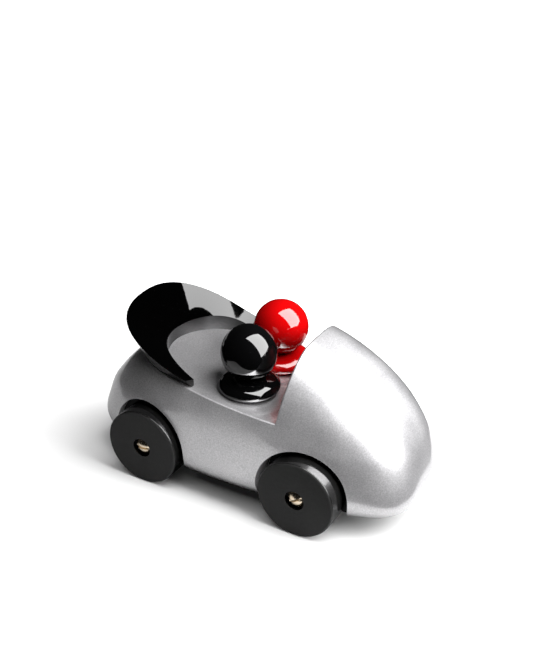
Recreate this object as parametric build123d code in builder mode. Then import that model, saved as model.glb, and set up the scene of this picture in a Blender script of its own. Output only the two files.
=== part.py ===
from build123d import *
import os
from math import acos, atan2, cos, pi, radians, sin, sqrt, tan

# Wooden streamliner with a pull-back motor. Millimetres, +X is forward, +Z is up.
# The origin is on the floor, below the middle of the toy.

# Body: a stack of egg-shaped outlines, widest and longest at WIDEST_Z.
# Fullness sets how late an outline shrinks towards the crown, tuck how deep it rounds under.
NOSE_REACH = 82.6
NOSE_FULLNESS = 1.80
NOSE_TUCK = 25.0
TAIL_REACH = 74.5
TAIL_FULLNESS = 1.20
TAIL_TUCK = 15.0
SIDE_FULLNESS = 2.43
SIDE_TUCK = 17.3
WIDEST_X = (TAIL_REACH - NOSE_REACH) / 2
WIDEST_Z = 18.0
HALF_WIDTH = 34.7
CROWN = 64.6
UNDERSIDE_Z = 9.5
OUTLINE_HEIGHTS = (UNDERSIDE_Z, 12, 18, 26, 34, 42, 50, 58, 66, 73, 78.5)
EDGE = 0.7

# Cockpit: an upright wall behind the hood, and a hollowed deck behind the wall
WALL_X = 21.7
WALL_LEAN = 0.124
DECK_Z = 47.85
DECK_RISE = 0.060
DECK_CURVE = 0.00072

# Running gear
WHEEL_R = 18.0
WHEEL_WIDTH = 13.0
WHEEL_FACE_Y = 37.1
REAR_X = -42.9
FRONT_X = 35.2
POCKET_R = 20.6
POCKET_FLOOR_Y = 23.0
AXLE_R = 2.5
RUN = 0.05
RECESS_R = 4.6
RECESS_DEPTH = 2.6
HEAD_R = 3.9
HEAD_RIM = 0.6
HEAD_DOME = 1.8
SLOT_WIDTH = 0.9
SLOT_DEPTH = 1.2
THREAD_R = 1.6
AXLE_GRIP = 8.0
AXLE_THREAD = 9.0
BODY_THREAD = 11.0
BUSH_WALL = 1.5
BUSH_LENGTH = 8.0
WASHER = 0.9
FLANGE_R = 6.0
WASHER_R = 5.5

# Figures
FIGURE_X = -0.3
FIGURE_Y = 13.8
BALL_Z = 67.9
BALL_R = 12.2
TORSO_Z = 52.3
TORSO_R = 13.6
TORSO_HALF_HEIGHT = 5.0

# Collar on the rear deck. Its edges are ovals (rear reach, side reach, squareness); their
# heights are (base, slope, curve) over the cosine of the angle from straight back.
COLLAR_X = -22.1
COLLAR_SWEEP = 93
COLLAR_SECTIONS = 13
COLLAR_INNER = (24.8, 26.1, 1.9)
COLLAR_FOOT = (34.4, 27.6, 2.6)
COLLAR_RIM = (41.2, 32.9, 2.82)
COLLAR_INNER_HEIGHT = (3.65, 10.8, -8.77)
COLLAR_RIM_HEIGHT = (5.9, 8.24, 9.86)
COLLAR_DOWELS = ((-42.4, 19.2), (-42.4, -19.2))
COLLAR_DOWEL_Z = 46.5
FIGURE_DOWEL_Z = 43.5
DOWEL_R = 2.5
DOWEL_LENGTH = 11.0

# Motor
MODULE = 0.5
AXLE_TEETH = 16
WHEEL_TEETH = 34
SMALL_TEETH = 12
BARREL_TEETH = 44
BACKLASH = 0.08
COMPOUND_RISE = 4.2
BARREL_RISE = 6.4
SHAFT_R = 1.0
ARBOR_R = 2.0
JOURNAL_R = 1.2
CASE_Y = 12.0
CASE_WALL = 1.4
CASE_TOP_Z = 43.0
DRUM_R = 11.0
SPRING_TURNS = 9
SPRING_STRIP = 0.35
COVER = 1.6
COVER_SCREW_R = 1.1

AXLE_AT = (REAR_X, WHEEL_R)
FIRST_DISTANCE = MODULE * (AXLE_TEETH + WHEEL_TEETH) / 2
SECOND_DISTANCE = MODULE * (SMALL_TEETH + BARREL_TEETH) / 2
COMPOUND_AT = (REAR_X + sqrt(FIRST_DISTANCE**2 - COMPOUND_RISE**2), WHEEL_R + COMPOUND_RISE)
BARREL_AT = (
    COMPOUND_AT[0] + sqrt(SECOND_DISTANCE**2 - BARREL_RISE**2),
    COMPOUND_AT[1] + BARREL_RISE,
)
CASE_BOTTOM_Z = UNDERSIDE_Z + COVER
CASE_X0 = REAR_X - MODULE * AXLE_TEETH / 2 - 2.6
CASE_X1 = BARREL_AT[0] + DRUM_R + 2.2
CASE_SCREWS = ((CASE_X0 + 3.4, CASE_TOP_Z - 3.4), (CASE_X1 - 3.0, CASE_BOTTOM_Z + 3.0))
COVER_X0 = CASE_X0 - 6
COVER_X1 = CASE_X1 + 6
COVER_Y = CASE_Y + 4


def deck_height(x):
    back = WALL_X - x
    return DECK_Z + DECK_RISE * back + DECK_CURVE * back**2


def shrink(z, fullness, tuck):
    # size of the outline at height z, as a fraction of the widest one
    rise = (z - WIDEST_Z) / CROWN
    if rise > 0:
        return (1 - rise**2) ** (1 / fullness)
    return sqrt(1 - ((z - WIDEST_Z) / tuck) ** 2)


def egg_outline(z):
    nose = NOSE_REACH * shrink(z, NOSE_FULLNESS, NOSE_TUCK)
    tail = TAIL_REACH * shrink(z, TAIL_FULLNESS, TAIL_TUCK)
    side = HALF_WIDTH * shrink(z, SIDE_FULLNESS, SIDE_TUCK)
    points = []
    for step in range(32):
        turn = 2 * pi * step / 32
        length = cos(turn) * sqrt(1 + sin(turn) ** 2)
        reach = nose if length > 0 else tail
        points.append((WIDEST_X + reach * length, side * sin(turn)))
    Spline(*points, periodic=True)


def oval_reach(turn, oval):
    rear, side, squareness = oval
    total = abs(cos(turn) / rear) ** squareness + abs(sin(turn) / side) ** squareness
    return total ** (-1 / squareness)


def edge_height(lean, height):
    base, slope, curve = height
    return base + slope * lean + curve * lean**2


def gear_outline(teeth, phase):
    # spur gear profile, each flank an arc through three points of the involute
    pitch_r = MODULE * teeth / 2
    base_r = pitch_r * cos(radians(20))
    tip_r = pitch_r + MODULE
    root_r = pitch_r - 1.25 * MODULE
    foot_r = max(base_r, root_r)

    def unwind(r):
        pressure = acos(min(1, base_r / r))
        return tan(pressure) - pressure

    half_tooth = pi / 2 / teeth - BACKLASH / 2 / pitch_r + unwind(pitch_r)
    mid_r = (foot_r + tip_r) / 2

    def at(r, angle):
        return (r * cos(angle), r * sin(angle))

    for tooth in range(teeth):
        centre = phase + 2 * pi * tooth / teeth
        gap = centre + pi / teeth
        foot = half_tooth - unwind(foot_r)
        mid = half_tooth - unwind(mid_r)
        tip = half_tooth - unwind(tip_r)
        next_foot = centre + 2 * pi / teeth - foot
        ThreePointArc(at(foot_r, centre - foot), at(mid_r, centre - mid), at(tip_r, centre - tip))
        ThreePointArc(at(tip_r, centre - tip), at(tip_r, centre), at(tip_r, centre + tip))
        ThreePointArc(at(tip_r, centre + tip), at(mid_r, centre + mid), at(foot_r, centre + foot))
        if foot_r > root_r:
            Line(at(foot_r, centre + foot), at(root_r, centre + foot))
            ThreePointArc(at(root_r, centre + foot), at(root_r, gap), at(root_r, next_foot))
            Line(at(root_r, next_foot), at(foot_r, next_foot))
        else:
            ThreePointArc(at(foot_r, centre + foot), at(root_r, gap), at(foot_r, next_foot))


def across(at, y):
    # plane square to a shaft at the given y, its normal pointing to -Y
    return Plane(origin=(at[0], y, at[1]), x_dir=(1, 0, 0), z_dir=(0, -1, 0))


def outward(side, x, y):
    # plane square to a wheel's axis, its normal pointing away from the body
    return Plane(origin=(x, side * y, WHEEL_R), x_dir=(1, 0, 0), z_dir=(0, side, 0))


def save(piece, label):
    piece.part.label = label
    os.makedirs("parts", exist_ok=True)
    export_step(piece.part, f"parts/{label}.step")


# Space above the deck and behind the wall: cuts the body, trims what stands on the deck
with BuildPart() as cockpit_space:
    with BuildSketch(Plane.XZ):
        with BuildLine():
            top_x = WALL_X + WALL_LEAN * (100 - DECK_Z)
            rear_x = WALL_X - 80
            mid_x = WALL_X - 40
            Line((WALL_X, DECK_Z), (top_x, 100))
            Line((top_x, 100), (-110, 100))
            Line((-110, 100), (-110, deck_height(rear_x)))
            Line((-110, deck_height(rear_x)), (rear_x, deck_height(rear_x)))
            ThreePointArc((rear_x, deck_height(rear_x)), (mid_x, deck_height(mid_x)), (WALL_X, DECK_Z))
        make_face()
    extrude(amount=60, both=True)

# Body
with BuildPart() as body:
    for z in OUTLINE_HEIGHTS:
        with BuildSketch(Plane.XY.offset(z)):
            with BuildLine():
                egg_outline(z)
            make_face()
    loft()
    add(cockpit_space.part, mode=Mode.SUBTRACT)
    fillet(body.edges().filter_by(GeomType.LINE, reverse=True), EDGE)
    for side in (-1, 1):
        for x in (REAR_X, FRONT_X):
            with BuildSketch(outward(side, x, POCKET_FLOOR_Y)):
                Circle(POCKET_R)
            extrude(amount=30, mode=Mode.SUBTRACT)
        with BuildSketch(outward(side, REAR_X, CASE_Y)):
            Circle(AXLE_R + BUSH_WALL)
        extrude(amount=30, mode=Mode.SUBTRACT)
        with BuildSketch(outward(side, FRONT_X, POCKET_FLOOR_Y - BODY_THREAD)):
            Circle(THREAD_R)
        extrude(amount=30, mode=Mode.SUBTRACT)
    # motor pocket and the ledge that takes its cover
    case_mid = ((CASE_X0 + CASE_X1) / 2, 0)
    with BuildSketch(Plane.XY.offset(UNDERSIDE_Z)):
        with Locations(case_mid):
            RectangleRounded(CASE_X1 - CASE_X0 + 1, 2 * CASE_Y + 1, 1)
    extrude(amount=CASE_TOP_Z + 0.5 - UNDERSIDE_Z, mode=Mode.SUBTRACT)
    with BuildSketch(Plane.XY.offset(UNDERSIDE_Z)):
        with Locations(case_mid):
            RectangleRounded(COVER_X1 - COVER_X0, 2 * COVER_Y, 3)
    extrude(amount=COVER, mode=Mode.SUBTRACT)
    with BuildSketch(Plane.XY.offset(UNDERSIDE_Z)):
        with Locations(case_mid):
            with GridLocations(COVER_X1 - COVER_X0 - 6, 2 * COVER_Y - 6, 2, 2):
                Circle(COVER_SCREW_R)
    extrude(amount=10, mode=Mode.SUBTRACT)
    # holes for the glued dowels
    with BuildSketch(Plane.XY.offset(FIGURE_DOWEL_Z)):
        with Locations((FIGURE_X, FIGURE_Y), (FIGURE_X, -FIGURE_Y)):
            Circle(DOWEL_R)
    extrude(amount=30, mode=Mode.SUBTRACT)
    with BuildSketch(Plane.XY.offset(COLLAR_DOWEL_Z)):
        with Locations(*COLLAR_DOWELS):
            Circle(DOWEL_R)
    extrude(amount=30, mode=Mode.SUBTRACT)
save(body, "body")

# Collar: a crescent lofted through upright sections that fan out from its middle
with BuildPart() as spoiler:
    for step in range(COLLAR_SECTIONS):
        turn = radians(COLLAR_SWEEP) * (2 * step / (COLLAR_SECTIONS - 1) - 1)
        lean = cos(turn)
        inner = oval_reach(turn, COLLAR_INNER)
        foot = oval_reach(turn, COLLAR_FOOT)
        rim = oval_reach(turn, COLLAR_RIM)
        deck = deck_height(COLLAR_X - inner * lean)
        inner_top = deck + edge_height(lean, COLLAR_INNER_HEIGHT)
        rim_top = deck_height(COLLAR_X) + edge_height(lean, COLLAR_RIM_HEIGHT)
        fan = Plane(origin=(COLLAR_X, 0, 0), x_dir=(-lean, sin(turn), 0), z_dir=(sin(turn), lean, 0))
        with BuildSketch(fan):
            with BuildLine():
                Polyline(
                    (inner, deck - 3),
                    (inner, inner_top),
                    (rim, rim_top),
                    (foot, deck),
                    (foot, deck - 3),
                    close=True,
                )
            make_face()
    loft()
    add(cockpit_space.part, mode=Mode.INTERSECT)
    with BuildSketch(Plane.XY.offset(COLLAR_DOWEL_Z)):
        with Locations(*COLLAR_DOWELS):
            Circle(DOWEL_R)
    extrude(amount=DOWEL_LENGTH, mode=Mode.SUBTRACT)
save(spoiler, "spoiler")

with BuildPart() as spoiler_dowels:
    with BuildSketch(Plane.XY.offset(COLLAR_DOWEL_Z)):
        with Locations(*COLLAR_DOWELS):
            Circle(DOWEL_R)
    extrude(amount=DOWEL_LENGTH)
save(spoiler_dowels, "spoiler_dowels")

# Figures: a ball glued on a turned bell, both on one dowel
with BuildPart() as figure_dowels:
    with BuildSketch(Plane.XY.offset(FIGURE_DOWEL_Z)):
        with Locations((FIGURE_X, FIGURE_Y), (FIGURE_X, -FIGURE_Y)):
            Circle(DOWEL_R)
    extrude(amount=BALL_Z - 6 - FIGURE_DOWEL_Z)
save(figure_dowels, "figure_dowels")

for name, y in (("driver", -FIGURE_Y), ("passenger", FIGURE_Y)):
    with BuildPart() as torso:
        with BuildSketch(Plane(origin=(FIGURE_X, y, TORSO_Z), x_dir=(1, 0, 0), z_dir=(0, -1, 0))):
            Ellipse(TORSO_R, TORSO_HALF_HEIGHT)
            half = (Align.MIN, Align.CENTER)
            Rectangle(TORSO_R, 2 * TORSO_HALF_HEIGHT, align=half, mode=Mode.INTERSECT)
        revolve(axis=Axis((FIGURE_X, y, 0), (0, 0, 1)))
        with Locations((FIGURE_X, y, BALL_Z)):
            Sphere(BALL_R, mode=Mode.SUBTRACT)
        add(cockpit_space.part, mode=Mode.INTERSECT)
        with BuildSketch(Plane.XY.offset(FIGURE_DOWEL_Z)):
            with Locations((FIGURE_X, y)):
                Circle(DOWEL_R)
        extrude(amount=30, mode=Mode.SUBTRACT)
    save(torso, f"{name}_torso")
    with BuildPart() as head:
        with Locations((FIGURE_X, y, BALL_Z)):
            Sphere(BALL_R)
        with BuildSketch(Plane.XY.offset(FIGURE_DOWEL_Z)):
            with Locations((FIGURE_X, y)):
                Circle(DOWEL_R)
        extrude(amount=BALL_Z - 6 - FIGURE_DOWEL_Z, mode=Mode.SUBTRACT)
    save(head, f"{name}_head")

# Wheels: the rear pair is clamped on the axle, each front one turns on a shouldered screw
for name, x, side in (
    ("rear_wheel_right", REAR_X, -1),
    ("rear_wheel_left", REAR_X, 1),
    ("front_wheel_right", FRONT_X, -1),
    ("front_wheel_left", FRONT_X, 1),
):
    driven = x == REAR_X
    with BuildPart() as wheel:
        with BuildSketch(outward(side, x, WHEEL_FACE_Y - WHEEL_WIDTH)):
            Circle(WHEEL_R)
        extrude(amount=WHEEL_WIDTH)
        fillet(wheel.edges(), 1.0)
        with BuildSketch(outward(side, x, WHEEL_FACE_Y - RECESS_DEPTH)):
            Circle(RECESS_R)
        extrude(amount=RECESS_DEPTH, mode=Mode.SUBTRACT)
        with BuildSketch(outward(side, x, WHEEL_FACE_Y - WHEEL_WIDTH)):
            Circle(AXLE_R)
        extrude(amount=AXLE_GRIP if driven else WHEEL_WIDTH, mode=Mode.SUBTRACT)
        if driven:
            with BuildSketch(outward(side, x, WHEEL_FACE_Y - WHEEL_WIDTH)):
                Circle(THREAD_R)
            extrude(amount=WHEEL_WIDTH, mode=Mode.SUBTRACT)
    save(wheel, name)


def screw_outline(side, seat_y, shank):
    # half section of a domed screw: its head sits at seat_y, its shank is (radius, end) steps
    top_y = seat_y + HEAD_RIM + HEAD_DOME
    cap_r = (HEAD_R**2 + HEAD_DOME**2) / (2 * HEAD_DOME)
    corners = [(HEAD_R, side * (seat_y + HEAD_RIM)), (HEAD_R, side * seat_y)]
    start_y = seat_y
    for r, end_y in shank:
        corners += [(r, side * start_y), (r, side * end_y)]
        start_y = end_y
    corners += [(0, side * start_y), (0, side * top_y)]
    Polyline(*corners)
    RadiusArc((0, side * top_y), corners[0], side * cap_r)


SEAT_Y = WHEEL_FACE_Y - RECESS_DEPTH
REAR_SHANK = [(THREAD_R, SEAT_Y - AXLE_THREAD)]
FRONT_SHANK = [(AXLE_R - RUN, POCKET_FLOOR_Y), (THREAD_R, POCKET_FLOOR_Y - BODY_THREAD)]
for name, x, seat_y, shank, slots in (
    ("rear_wheel_screws", REAR_X, SEAT_Y, REAR_SHANK, (-3, 50)),
    ("front_wheel_screws", FRONT_X, SEAT_Y + 0.1, FRONT_SHANK, (28, -35)),
):
    with BuildPart() as screws:
        for side, slot_turn in zip((-1, 1), slots):
            with BuildSketch(Plane(origin=(x, 0, WHEEL_R), x_dir=(1, 0, 0), z_dir=(0, 0, 1))):
                with BuildLine():
                    screw_outline(side, seat_y, shank)
                make_face()
            revolve(axis=Axis((x, 0, WHEEL_R), (0, 1, 0)))
            with BuildSketch(outward(side, x, seat_y + HEAD_RIM + HEAD_DOME - SLOT_DEPTH)):
                Rectangle(2 * HEAD_R + 1, SLOT_WIDTH, rotation=-side * slot_turn)
            extrude(amount=SLOT_DEPTH, mode=Mode.SUBTRACT)
    save(screws, name)

with BuildPart() as front_washers:
    for side in (-1, 1):
        with BuildSketch(outward(side, FRONT_X, POCKET_FLOOR_Y)):
            Circle(WASHER_R)
            Circle(AXLE_R, mode=Mode.SUBTRACT)
        extrude(amount=WASHER)
save(front_washers, "front_washers")

# Driven axle and its bearings
with BuildPart() as rear_axle:
    for side in (-1, 1):
        with BuildSketch(outward(side, REAR_X, 0)):
            Circle(AXLE_R)
        extrude(amount=WHEEL_FACE_Y - WHEEL_WIDTH + AXLE_GRIP)
        with BuildSketch(outward(side, REAR_X, SEAT_Y - AXLE_THREAD)):
            Circle(THREAD_R)
        extrude(amount=AXLE_THREAD, mode=Mode.SUBTRACT)
save(rear_axle, "rear_axle")

with BuildPart() as axle_bushes:
    for side in (-1, 1):
        with BuildSketch(outward(side, REAR_X, POCKET_FLOOR_Y - BUSH_LENGTH)):
            Circle(AXLE_R + BUSH_WALL)
            Circle(AXLE_R + RUN, mode=Mode.SUBTRACT)
        extrude(amount=BUSH_LENGTH)
        with BuildSketch(outward(side, REAR_X, POCKET_FLOOR_Y)):
            Circle(FLANGE_R)
            Circle(AXLE_R + RUN, mode=Mode.SUBTRACT)
        extrude(amount=WASHER)
save(axle_bushes, "axle_bushes")

# Gear train: axle pinion, compound gear, barrel gear on the spring arbor
FIRST_LINE = atan2(COMPOUND_RISE, COMPOUND_AT[0] - AXLE_AT[0])
SECOND_LINE = atan2(BARREL_RISE, BARREL_AT[0] - COMPOUND_AT[0])

with BuildPart() as axle_pinion:
    with BuildSketch(across(AXLE_AT, -5.5)):
        with BuildLine():
            gear_outline(AXLE_TEETH, FIRST_LINE)
        make_face()
        Circle(AXLE_R, mode=Mode.SUBTRACT)
    extrude(amount=3.5)
save(axle_pinion, "axle_pinion")

with BuildPart() as compound_gear:
    with BuildSketch(across(COMPOUND_AT, -6)):
        with BuildLine():
            gear_outline(WHEEL_TEETH, FIRST_LINE + pi + pi / WHEEL_TEETH)
        make_face()
        Circle(SHAFT_R + RUN, mode=Mode.SUBTRACT)
    extrude(amount=2.5)
    with BuildSketch(across(COMPOUND_AT, -2)):
        with BuildLine():
            gear_outline(SMALL_TEETH, SECOND_LINE)
        make_face()
        Circle(SHAFT_R + RUN, mode=Mode.SUBTRACT)
    extrude(amount=4)
save(compound_gear, "compound_gear")

with BuildPart() as compound_shaft:
    with BuildSketch(across(COMPOUND_AT, 6)):
        Circle(SHAFT_R)
    extrude(amount=6 + CASE_Y)
save(compound_shaft, "compound_shaft")

with BuildPart() as barrel_gear:
    with BuildSketch(across(BARREL_AT, -2.5)):
        with BuildLine():
            gear_outline(BARREL_TEETH, SECOND_LINE + pi + pi / BARREL_TEETH)
        make_face()
        Circle(ARBOR_R, mode=Mode.SUBTRACT)
    extrude(amount=2.5)
    with BuildSketch(across(BARREL_AT, -0.5)):
        Circle(ARBOR_R + 1.6)
        Circle(ARBOR_R, mode=Mode.SUBTRACT)
    extrude(amount=2)
save(barrel_gear, "barrel_gear")

with BuildPart() as spring_arbor:
    with BuildSketch(across(BARREL_AT, CASE_Y - CASE_WALL - 0.2)):
        Circle(ARBOR_R)
    extrude(amount=2 * (CASE_Y - CASE_WALL - 0.2))
    with BuildSketch(across(BARREL_AT, CASE_Y)):
        Circle(JOURNAL_R)
    extrude(amount=2 * CASE_Y)
save(spring_arbor, "spring_arbor")

# Mainspring: a strip coiled between the arbor and the wall of its drum
with BuildPart() as mainspring:
    with BuildSketch(across(BARREL_AT, 8.5)):
        with BuildLine():
            inner_side = []
            outer_side = []
            for step in range(SPRING_TURNS * 10 + 1):
                turn = 2 * pi * step / 10
                coil_r = ARBOR_R + 0.35 + (DRUM_R - ARBOR_R - 0.8) * step / (SPRING_TURNS * 10)
                for points, gap in ((inner_side, -SPRING_STRIP / 2), (outer_side, SPRING_STRIP / 2)):
                    points.append(((coil_r + gap) * cos(turn), (coil_r + gap) * sin(turn)))
            Spline(*inner_side)
            Spline(*outer_side)
            Line(inner_side[0], outer_side[0])
            Line(inner_side[-1], outer_side[-1])
        make_face()
    extrude(amount=7)
save(mainspring, "mainspring")

# Motor case: the right half holds the gears, the left half is the spring's drum
case_outline = Plane(
    origin=((CASE_X0 + CASE_X1) / 2, 0, (CASE_BOTTOM_Z + CASE_TOP_Z) / 2), x_dir=(1, 0, 0), z_dir=(0, -1, 0)
)
with BuildPart() as gear_case:
    with BuildSketch(case_outline):
        RectangleRounded(CASE_X1 - CASE_X0, CASE_TOP_Z - CASE_BOTTOM_Z, 2)
    extrude(amount=CASE_Y)
    with BuildSketch(case_outline):
        RectangleRounded(CASE_X1 - CASE_X0 - 2 * CASE_WALL, CASE_TOP_Z - CASE_BOTTOM_Z - 2 * CASE_WALL, 0.6)
    extrude(amount=CASE_Y - CASE_WALL, mode=Mode.SUBTRACT)
    for post in CASE_SCREWS:
        with BuildSketch(across(post, 0)):
            Circle(2.9)
        extrude(amount=CASE_Y)
        with BuildSketch(across(post, 0)):
            Circle(COVER_SCREW_R)
        extrude(amount=CASE_Y, mode=Mode.SUBTRACT)
        with BuildSketch(across(post, -CASE_Y + 1.2)):
            Circle(2)
        extrude(amount=1.2, mode=Mode.SUBTRACT)
    for at, r in ((AXLE_AT, AXLE_R + RUN), (COMPOUND_AT, SHAFT_R), (BARREL_AT, JOURNAL_R + RUN)):
        with BuildSketch(across(at, 0)):
            Circle(r)
        extrude(amount=CASE_Y, mode=Mode.SUBTRACT)
save(gear_case, "gear_case")

with BuildPart() as spring_case:
    with BuildSketch(case_outline):
        RectangleRounded(CASE_X1 - CASE_X0, CASE_TOP_Z - CASE_BOTTOM_Z, 2)
    extrude(amount=-CASE_Y)
    with BuildSketch(across(BARREL_AT, CASE_Y - CASE_WALL)):
        Circle(DRUM_R)
    extrude(amount=CASE_Y - CASE_WALL, mode=Mode.SUBTRACT)
    for at, r, depth in (
        (AXLE_AT, AXLE_R + RUN, CASE_Y),
        (COMPOUND_AT, SHAFT_R, 6),
        (BARREL_AT, JOURNAL_R + RUN, CASE_Y),
        (CASE_SCREWS[0], COVER_SCREW_R, 8),
        (CASE_SCREWS[1], COVER_SCREW_R, 8),
    ):
        with BuildSketch(across(at, depth)):
            Circle(r)
        extrude(amount=depth, mode=Mode.SUBTRACT)
save(spring_case, "spring_case")

with BuildPart() as case_screws:
    for post in CASE_SCREWS:
        with BuildSketch(across(post, -CASE_Y + 1.2)):
            Circle(2)
        extrude(amount=1.2)
        with BuildSketch(across(post, 8)):
            Circle(COVER_SCREW_R)
        extrude(amount=8 + CASE_Y - 1.2)
save(case_screws, "case_screws")

# Plate that closes the motor pocket, flush with the underside
with BuildPart() as motor_cover:
    with BuildSketch(Plane.XY.offset(UNDERSIDE_Z)):
        with Locations(case_mid):
            RectangleRounded(COVER_X1 - COVER_X0 - 0.3, 2 * COVER_Y - 0.3, 2.8)
    extrude(amount=COVER)
    with Locations(Plane(origin=(case_mid[0], 0, UNDERSIDE_Z), x_dir=(1, 0, 0), z_dir=(0, 0, -1))):
        with GridLocations(COVER_X1 - COVER_X0 - 6, 2 * COVER_Y - 6, 2, 2):
            CounterSinkHole(COVER_SCREW_R, 2.2, depth=COVER, counter_sink_angle=90)
save(motor_cover, "motor_cover")

with BuildPart() as cover_screws:
    with Locations(Plane(origin=(case_mid[0], 0, UNDERSIDE_Z), x_dir=(1, 0, 0), z_dir=(0, 0, 1))):
        with GridLocations(COVER_X1 - COVER_X0 - 6, 2 * COVER_Y - 6, 2, 2):
            Cone(2.2, COVER_SCREW_R, 2.2 - COVER_SCREW_R, align=(Align.CENTER, Align.CENTER, Align.MIN))
            Cylinder(COVER_SCREW_R, 10, align=(Align.CENTER, Align.CENTER, Align.MIN))
            Box(5, 0.6, 0.6, align=(Align.CENTER, Align.CENTER, Align.MIN), mode=Mode.SUBTRACT)
save(cover_screws, "cover_screws")
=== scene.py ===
import math
import bpy
from mathutils import Matrix, Vector
from mathutils.geometry import interpolate_bezier


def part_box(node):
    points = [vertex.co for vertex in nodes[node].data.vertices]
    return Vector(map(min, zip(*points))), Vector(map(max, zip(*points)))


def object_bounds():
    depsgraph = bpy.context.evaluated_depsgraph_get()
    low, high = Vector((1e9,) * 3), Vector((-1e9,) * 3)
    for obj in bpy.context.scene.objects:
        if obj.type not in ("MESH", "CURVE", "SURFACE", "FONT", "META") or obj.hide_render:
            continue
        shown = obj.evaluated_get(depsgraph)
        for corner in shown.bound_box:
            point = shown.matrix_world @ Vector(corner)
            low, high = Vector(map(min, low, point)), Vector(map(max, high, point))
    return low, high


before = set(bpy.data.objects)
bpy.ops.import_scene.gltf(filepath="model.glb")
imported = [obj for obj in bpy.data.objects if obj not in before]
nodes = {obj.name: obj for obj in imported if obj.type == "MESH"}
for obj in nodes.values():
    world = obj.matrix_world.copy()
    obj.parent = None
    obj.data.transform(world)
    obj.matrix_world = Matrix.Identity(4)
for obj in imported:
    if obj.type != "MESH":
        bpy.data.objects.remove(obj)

cad_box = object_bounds()


# ---------------------------------------------------------------- camera
def add_camera():
    """Three-quarter view from the car's front right, a little above it."""
    azimuth, elevation, roll = math.radians(29.55), math.radians(31.97), math.radians(-0.52)
    back = Vector((
        math.sin(azimuth) * math.cos(elevation),
        -math.cos(azimuth) * math.cos(elevation),
        math.sin(elevation),
    ))
    # aimed above the right-hand wheels' outer faces
    target = Vector((0.0243, cad_box[0].y, 0.0594))
    distance = 0.4203
    cam = bpy.data.objects.new("camera", bpy.data.cameras.new("camera"))
    bpy.context.scene.collection.objects.link(cam)
    cam.rotation_mode = "QUATERNION"
    cam.location = target + back * distance
    turn = (-back).to_track_quat("-Z", "Y").to_matrix()
    cam.rotation_quaternion = (turn @ Matrix.Rotation(-roll, 3, "Z")).to_quaternion()
    cam.data.lens = 56.67
    cam.data.sensor_width = 36
    cam.data.shift_x = -0.0083
    cam.data.shift_y = 0.1156
    cam.data.clip_start = 0.01
    cam.data.clip_end = 50
    bpy.context.scene.camera = cam


add_camera()


# ---------------------------------------------------------------- node helpers
class Nodes:
    """A short way to build a node tree."""

    def __init__(self, name):
        self.mat = bpy.data.materials.new(name)
        self.mat.use_nodes = True
        self.tree = self.mat.node_tree
        self.bsdf = self.tree.nodes["Principled BSDF"]

    def add(self, kind, settings=None, **inputs):
        node = self.tree.nodes.new(kind)
        for key, value in (settings or {}).items():
            setattr(node, key, value)
        for key, value in inputs.items():
            self.put(node, key.replace("_", " "), value)
        return node

    def put(self, node, socket, value):
        target = node.inputs[int(socket)] if socket.isdigit() else node.inputs[socket]
        if isinstance(value, bpy.types.NodeSocket):
            self.tree.links.new(value, target)
        else:
            target.default_value = value

    def set(self, **inputs):
        for key, value in inputs.items():
            self.put(self.bsdf, key.replace("_", " "), value)

    def coords(self):
        return self.add("ShaderNodeTexCoord").outputs["Object"]

    def noise(self, scale, detail, rough, vector):
        return self.add(
            "ShaderNodeTexNoise", Vector=vector, Scale=scale, Detail=detail, Roughness=rough,
        ).outputs["Fac"]

    def ramp(self, fac, stops):
        node = self.add("ShaderNodeValToRGB")
        self.tree.links.new(fac, node.inputs["Fac"])
        ramp = node.color_ramp
        while len(ramp.elements) < len(stops):
            ramp.elements.new(0.5)
        for element, (at, value) in zip(ramp.elements, stops):
            element.position = at
            element.color = value if len(value) == 4 else (*value, 1.0)
        return node.outputs["Color"]

    def remap(self, fac, a, b, low, high):
        """fac from a to b, turned into low to high and held there outside it."""
        return self.add(
            "ShaderNodeMapRange",
            **{"0": fac, "1": a, "2": b, "3": low, "4": high},
        ).outputs["Result"]

    def math(self, kind, a, b=None):
        values = {"0": a} if b is None else {"0": a, "1": b}
        return self.add("ShaderNodeMath", {"operation": kind}, **values).outputs[0]

    def invert(self, fac, top):
        """top where fac is 0, and 0 where it is 1."""
        return self.remap(fac, 0.0, 1.0, top, 0.0)

    def mix(self, fac, a, b):
        node = self.add("ShaderNodeMix", {"data_type": "RGBA"})
        for index, value in ((0, fac), (6, a), (7, b)):
            self.put(node, str(index), value)
        return node.outputs[2]

    def mix_value(self, fac, a, b):
        node = self.add("ShaderNodeMix", {"data_type": "FLOAT"}, **{"0": fac, "2": a, "3": b})
        return node.outputs[0]

    def multiply(self, a, b):
        node = self.add("ShaderNodeMix", {"data_type": "RGBA", "blend_type": "MULTIPLY"}, **{"0": 1.0})
        for index, value in ((6, a), (7, b)):
            self.put(node, str(index), value)
        return node.outputs[2]

    def wave(self, vector):
        """Fine rings about the Y axis."""
        return self.add(
            "ShaderNodeTexWave", {"wave_type": "RINGS", "rings_direction": "Y"},
            Vector=vector, Scale=900.0, Distortion=0.4,
        ).outputs["Fac"]

    def bump(self, height, distance, strength):
        return self.add(
            "ShaderNodeBump", Height=height, Distance=distance, Strength=strength,
        ).outputs["Normal"]


def grey(value):
    return (value, value, value)


def paint(material, *names):
    for name in names:
        materials = nodes[name].data.materials
        materials.clear()
        materials.append(material)


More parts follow.
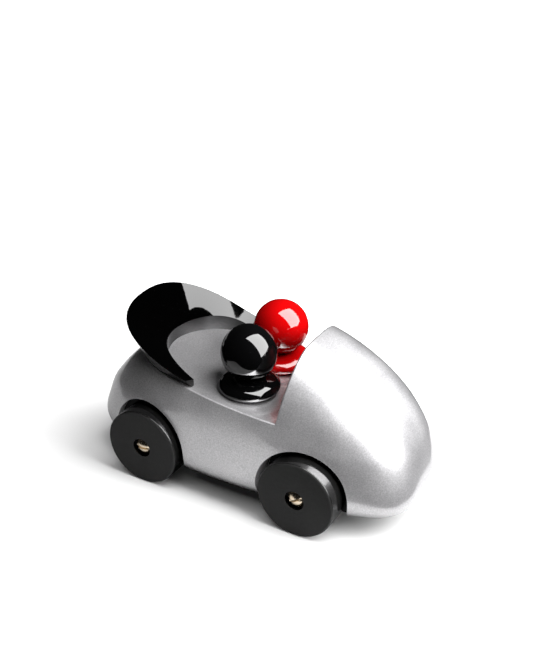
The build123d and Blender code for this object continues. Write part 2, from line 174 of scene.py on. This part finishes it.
# ---------------------------------------------------------------- materials
def lacquer_silver():
    """Silver metallic lacquer: fine flake under a clear gloss. The wheel arches are silver lacquer in
    deep shade, painted near-black as painted shade, without metal or coat.
    """
    n = Nodes("silver_lacquer")
    p = n.coords()
    flake = n.noise(1900, 2.0, 0.65, p)
    patch = n.noise(70, 3.0, 0.5, p)
    silver = n.ramp(flake, [(0.25, grey(0.40)), (0.50, grey(0.54)), (0.75, grey(0.68))])
    tint = n.ramp(patch, [(0.30, (0.935, 0.925, 0.95)), (0.70, (0.99, 0.98, 1.0))])
    silver = n.multiply(silver, tint)
    # painted shade: near-black in the wheel arches stands in for the deep shade over the silver there
    arch_shade = arch_mask(n, p)
    n.set(
        Base_Color=n.mix(arch_shade, silver, (0.004, 0.004, 0.004, 1)),
        Metallic=n.invert(arch_shade, 0.95),
        Roughness=n.remap(patch, 0.35, 0.65, 0.39, 0.42),
        Specular_IOR_Level=0.1,
        Coat_Weight=n.invert(arch_shade, 1.0),
        Coat_IOR=1.9,
        Coat_Roughness=0.09,
        Normal=n.bump(flake, 0.00002, 0.16),
    )
    return n.mat


def arch_mask(n, p):
    """Painted shade mask: 1 on the walls and floors of the four wheel arches, 0 on the outer skin."""
    edge, fade = 0.00254, 0.00018       # how far the painted shade runs past a wheel's radius
    floor_gap, floor_fade = 0.0012, 0.0002      # from a wheel's inner face to the arch floor
    split = n.add("ShaderNodeSeparateXYZ", Vector=p).outputs
    total = None
    for name in ("rear_wheel_right", "front_wheel_right"):
        low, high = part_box(name)
        mid = (low + high) / 2
        radius = (high.z - low.z) / 2
        dx = n.math("SUBTRACT", split["X"], mid.x)
        dz = n.math("SUBTRACT", split["Z"], mid.z)
        square = n.math("ADD", n.math("MULTIPLY", dx, dx), n.math("MULTIPLY", dz, dz))
        span = n.math("SQRT", square)
        inside = n.remap(span, radius + edge + fade, radius + edge, 0.0, 1.0)
        total = inside if total is None else n.math("MAXIMUM", total, inside)
    # the painted arch shade ends a little inboard of the wheels; the flat underside between them stays
    # silver
    outboard = -high.y - floor_gap
    side = n.remap(n.math("ABSOLUTE", split["Y"]), outboard - floor_fade, outboard, 0.0, 1.0)
    return n.math("MULTIPLY", total, side)


def lacquer_solid(name, colour, deep):
    """Many coats of solid lacquer over turned wood, with a faint orange peel."""
    n = Nodes(name)
    p = n.coords()
    peel = n.noise(380, 2.0, 0.5, p)
    cloud = n.noise(60, 2.0, 0.5, p)
    n.set(
        Base_Color=n.ramp(cloud, [(0.3, deep), (0.7, colour)]),
        Roughness=n.remap(cloud, 0.3, 0.7, 0.16, 0.22),
        Specular_IOR_Level=0.0,
        Coat_Weight=1.0,
        Coat_IOR=1.55,
        Coat_Roughness=0.03,
        Coat_Normal=n.bump(peel, 0.00002, 0.12),
    )
    return n.mat


def wheel_lacquer(name, wheel):
    """Black lacquer: polished treads, and flat faces rubbed down to a satin grey with turning marks."""
    n = Nodes(name)
    p = n.coords()
    split = n.add("ShaderNodeSeparateXYZ", Vector=p).outputs
    low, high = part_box(wheel)
    hub = (low + high) / 2
    rim_start, rim_end = 0.0006, 0.0001     # where polish gives way to satin, in from the outer face
    reach = n.math("ABSOLUTE", split["Y"])
    face = n.remap(reach, -low.y - rim_start, -low.y - rim_end, 0.0, 1.0)
    cloud = n.noise(90, 3.0, 0.55, p)
    fine = n.noise(900, 2.0, 0.5, p)
    lathe = n.wave(n.add("ShaderNodeMapping", Vector=p, Location=tuple(-hub)).outputs["Vector"])
    tread_colour = n.ramp(cloud, [(0.3, grey(0.004)), (0.7, grey(0.007))])
    face_colour = n.ramp(fine, [(0.3, grey(0.027)), (0.7, grey(0.033))])
    tread_rough = n.remap(cloud, 0.3, 0.7, 0.10, 0.16)
    face_rough = n.remap(fine, 0.3, 0.7, 0.46, 0.54)
    n.set(
        Base_Color=n.mix(face, tread_colour, face_colour),
        Roughness=n.mix_value(face, tread_rough, face_rough),
        Coat_Weight=n.invert(face, 0.35),
        Specular_IOR_Level=0.2,
        Coat_IOR=1.35,
        Coat_Roughness=0.03,
        Normal=n.bump(lathe, 0.00001, 0.12),
    )
    return n.mat


def plated(name, light, dark, scale, low, high):
    """Turned or drawn metal with fine marks and slightly uneven polish."""
    n = Nodes(name)
    p = n.coords()
    marks = n.noise(scale, 3.0, 0.6, p)
    patch = n.noise(220, 2.0, 0.5, p)
    n.set(
        Base_Color=n.ramp(patch, [(0.30, dark), (0.68, light)]),
        Metallic=1.0,
        Roughness=n.remap(marks, 0.3, 0.7, low, high),
        Normal=n.bump(marks, 0.00001, 0.25),
    )
    return n.mat


def moulded(name, light, dark, low, high):
    """Moulded plastic: fine spark-eroded grain and faint flow marks."""
    n = Nodes(name)
    p = n.coords()
    grain = n.noise(2600, 2.0, 0.6, p)
    flow = n.noise(60, 3.0, 0.5, p)
    n.set(
        Base_Color=n.ramp(flow, [(0.3, dark), (0.7, light)]),
        Roughness=n.remap(flow, 0.3, 0.7, low, high),
        Normal=n.bump(grain, 0.00003, 0.25),
    )
    return n.mat


def bare_beech():
    """Unpainted beech dowel: pale, with short darker flecks along the grain."""
    n = Nodes("dowel_wood")
    p = n.coords()
    along = n.add("ShaderNodeMapping", Vector=p, Scale=(1.0, 1.0, 0.12)).outputs["Vector"]
    grain = n.noise(700, 4.0, 0.6, along)
    fleck = n.noise(2200, 2.0, 0.5, along)
    colour = n.ramp(grain, [
        (0.30, (0.50, 0.32, 0.18)), (0.60, (0.68, 0.50, 0.31)), (0.80, (0.76, 0.59, 0.39))])
    n.set(
        Base_Color=n.multiply(colour, n.ramp(fleck, [(0.35, grey(0.82)), (0.50, grey(1.0))])),
        Roughness=n.remap(grain, 0.3, 0.7, 0.55, 0.72),
        Normal=n.bump(grain, 0.00005, 0.4),
    )
    return n.mat


silver = lacquer_silver()
black = lacquer_solid("black_lacquer", (0.0016, 0.0016, 0.0018), (0.0010, 0.0010, 0.0010))
red = lacquer_solid("red_lacquer", (0.32, 0.0012, 0.0016), (0.28, 0.0008, 0.0012))
rear_tyre = wheel_lacquer("rear_wheel_black", "rear_wheel_right")
front_tyre = wheel_lacquer("front_wheel_black", "front_wheel_right")
screw = plated("screw_nickel", (0.93, 0.80, 0.62), (0.80, 0.66, 0.48), 2600, 0.16, 0.28)
steel = plated("steel", (0.62, 0.62, 0.64), (0.48, 0.48, 0.50), 1500, 0.22, 0.36)
brass = plated("brass", (0.82, 0.60, 0.26), (0.70, 0.48, 0.19), 1500, 0.22, 0.34)
nylon = moulded("gear_nylon", (0.84, 0.83, 0.77), (0.78, 0.76, 0.69), 0.42, 0.55)
plastic = moulded("case_plastic", (0.030, 0.030, 0.033), (0.020, 0.020, 0.022), 0.42, 0.54)
beech = bare_beech()

paint(silver, "body")
paint(black, "spoiler", "driver_head", "driver_torso")
paint(red, "passenger_head", "passenger_torso")
paint(rear_tyre, "rear_wheel_right", "rear_wheel_left")
paint(front_tyre, "front_wheel_right", "front_wheel_left")
paint(screw, "rear_wheel_screws", "front_wheel_screws")
paint(steel, "rear_axle", "front_washers", "compound_shaft", "spring_arbor", "mainspring",
      "case_screws", "cover_screws")
paint(brass, "axle_bushes", "axle_pinion")
paint(nylon, "compound_gear", "barrel_gear")
paint(plastic, "gear_case", "spring_case", "motor_cover")
paint(beech, "spoiler_dowels", "figure_dowels")


# ---------------------------------------------------------------- floor and light
def stage_sheet(name, corners, height, material):
    mesh = bpy.data.meshes.new(name)
    mesh.from_pydata([(x, y, height) for x, y in corners], [], [tuple(range(len(corners)))])
    mesh.materials.append(material)
    sheet = bpy.data.objects.new(name, mesh)
    bpy.context.scene.collection.objects.link(sheet)
    return sheet


def bend(start, handle_out, handle_in, end):
    """Points along one Bezier stretch of a flat outline."""
    knots = [Vector((x, y, 0)) for x, y in (start, handle_out, handle_in, end)]
    points = interpolate_bezier(*knots, 16)
    return [(point.x, point.y) for point in points[:-1]]


def add_floor():
    """A pale floor that glows away from the car, and a sheet on it that only glossy things reflect."""
    glow_start, glow_end = 0.20, 0.60       # distance from the car's middle
    n = Nodes("studio_floor")
    p = n.coords()
    away = n.add("ShaderNodeVectorMath", {"operation": "LENGTH"}, **{"0": p}).outputs["Value"]
    n.set(
        Base_Color=n.ramp(n.noise(9, 2.0, 0.5, p), [(0.3, grey(0.68)), (0.7, grey(0.70))]),
        Roughness=0.9,
        Emission_Color=(1, 1, 1, 1),
        # painted light: a faint glow by the car lifts the shadow under it, rising to bright white far
        # from the car
        Emission_Strength=n.remap(away, glow_start, glow_end, 0.006, 1.3),
    )
    reach = 6.0
    corners = [(-reach, -reach), (reach, -reach), (reach, reach), (-reach, reach)]
    floor = stage_sheet("studio_floor", corners, 0.0, n.mat)
    floor.visible_glossy = False
    floor.visible_diffuse = False
    m = Nodes("studio_sheet")
    mottle = m.noise(9, 2.0, 0.5, m.coords())
    m.set(Base_Color=m.ramp(mottle, [(0.3, grey(0.33)), (0.7, grey(0.36))]), Roughness=0.9)
    # the sheet lies under, behind and left of the car, with one round lobe out to its right
    lobe = bend((-0.15, -0.055), (-0.10, -0.08), (-0.15, -0.21), (-0.08, -0.21))
    lobe += bend((-0.08, -0.21), (-0.03, -0.21), (0.02, -0.05), (0.08, -0.05))
    edge = [(-0.4, 0.02), (-0.22, -0.05)] + lobe + [(0.105, -0.01), (0.108, 0.05)]
    sheet = stage_sheet("studio_sheet", edge + [(0.108, 0.12), (-0.4, 0.12)], 0.0002, m.mat)
    sheet.visible_camera = False
    sheet.visible_shadow = False
    return floor


def add_softbox(name, centre, across, up, power, only=(), never=()):
    """A rectangular softbox given by its centre and its two edges.

    It shines towards the side that across x up points away from. It lights everything, or only the
    objects in only, or all but those in never.
    """
    across, up = Vector(across), Vector(up)
    data = bpy.data.lights.new(name, "AREA")
    data.shape = "RECTANGLE"
    data.size = across.length
    data.size_y = up.length
    data.energy = power
    light = bpy.data.objects.new(name, data)
    bpy.context.scene.collection.objects.link(light)
    light.location = centre
    light.visible_camera = False
    back = across.cross(up).normalized()
    side = across.normalized()
    light.rotation_mode = "QUATERNION"
    light.rotation_quaternion = Matrix((side, back.cross(side), back)).transposed().to_quaternion()
    if only or never:
        group = bpy.data.collections.new(name + "_receivers")
        for target in only or never:
            group.objects.link(target)
        light.light_linking.receiver_collection = group
        for item in group.collection_objects:
            item.light_linking.link_state = "INCLUDE" if only else "EXCLUDE"


floor = add_floor()
add_softbox(
    "key", centre=(0.34, 0.20, 0.446), across=(0.238, 0.622, 0.250), up=(-0.560, 0.027, 0.499),
    power=22, never=[nodes["body"], nodes["spoiler"]])
add_softbox(
    "body_key", centre=(0.325, -0.075, 0.385), across=(0.070, 0.500, 0.0), up=(-0.330, 0.045, 0.300),
    power=27, only=[nodes["body"]])
add_softbox(
    "spoiler_key", centre=(-0.05, 0.355, 0.725), across=(-0.07, 0.14, -0.070), up=(-0.44, 0.12, 0.0),
    power=1.9, only=[nodes["spoiler"]])
add_softbox(
    "floor_fill", centre=(0.0, -0.22, 0.80), across=(0.8, 0.0, 0.0), up=(0.0, 0.77, 0.21),
    power=5, only=[floor])

world = bpy.data.worlds.new("studio")
world.use_nodes = True
world.node_tree.nodes["Background"].inputs["Color"].default_value = (0.008, 0.008, 0.008, 1)
bpy.context.scene.world = world
bpy.context.scene.view_settings.view_transform = "Standard"
